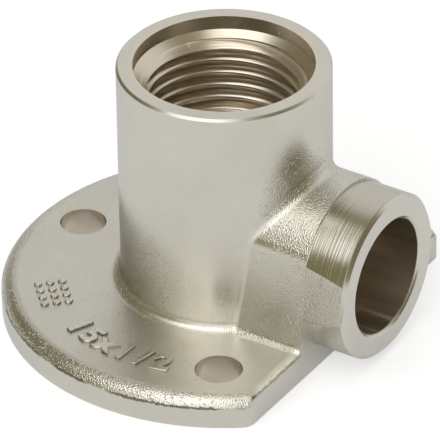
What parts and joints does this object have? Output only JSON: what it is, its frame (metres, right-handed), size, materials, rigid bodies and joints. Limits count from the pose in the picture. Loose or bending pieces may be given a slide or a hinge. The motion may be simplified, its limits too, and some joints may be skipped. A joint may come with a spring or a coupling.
{
  "type": "wall plate elbow",
  "caption": "Nickel-plated brass elbow on a screw-down wall flange: a parallel female pipe thread facing out of the wall turns to a plain solder socket.",
  "frame": {"origin": "on the threaded socket's axis, in the flange's wall face", "axes": "+Z out of the wall along the threaded socket, +X along the solder socket, out of its mouth"},
  "size_m": [0.0526, 0.0574, 0.0351],
  "materials": {
    "nickel_plate": "satin nickel plate, shot-blasted on forged faces and smooth where machined"
  },
  "bodies": {
    "root": {"elbow_body": "nickel_plate"}
  },
  "joints": []
}
